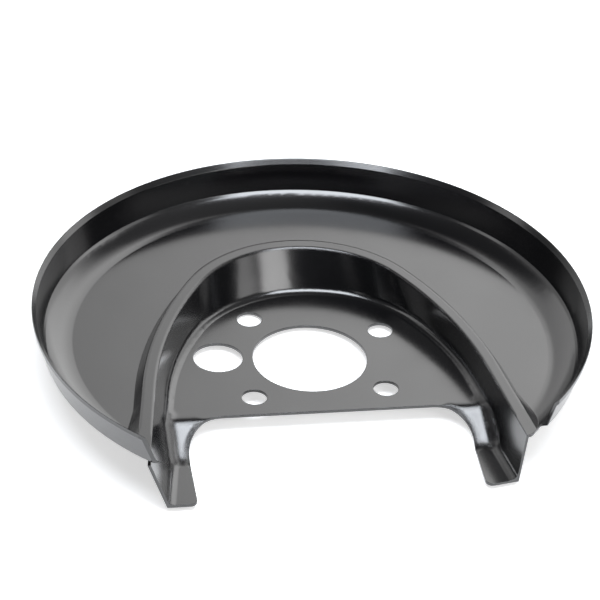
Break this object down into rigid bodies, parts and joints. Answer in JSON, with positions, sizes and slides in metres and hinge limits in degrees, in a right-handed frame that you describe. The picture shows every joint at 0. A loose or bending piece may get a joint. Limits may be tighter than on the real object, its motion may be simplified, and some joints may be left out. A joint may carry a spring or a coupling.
{
  "type": "brake dust shield",
  "caption": "Round pressed sheet shield with an upturned rim, a raised arch round its mounting plate and a caliper gap between two stepped legs.",
  "frame": {"origin": "centre of the hub bore on the upper face of the mounting plate", "axes": "+Z along the wheel axis towards the disc rotor, -Y towards the caliper gap"},
  "size_m": [0.2423, 0.2076, 0.0388],
  "materials": {
    "black_coat": "glossy black electrophoretic coat on pressed steel"
  },
  "bodies": {
    "root": {"shield": "black_coat"}
  },
  "joints": []
}
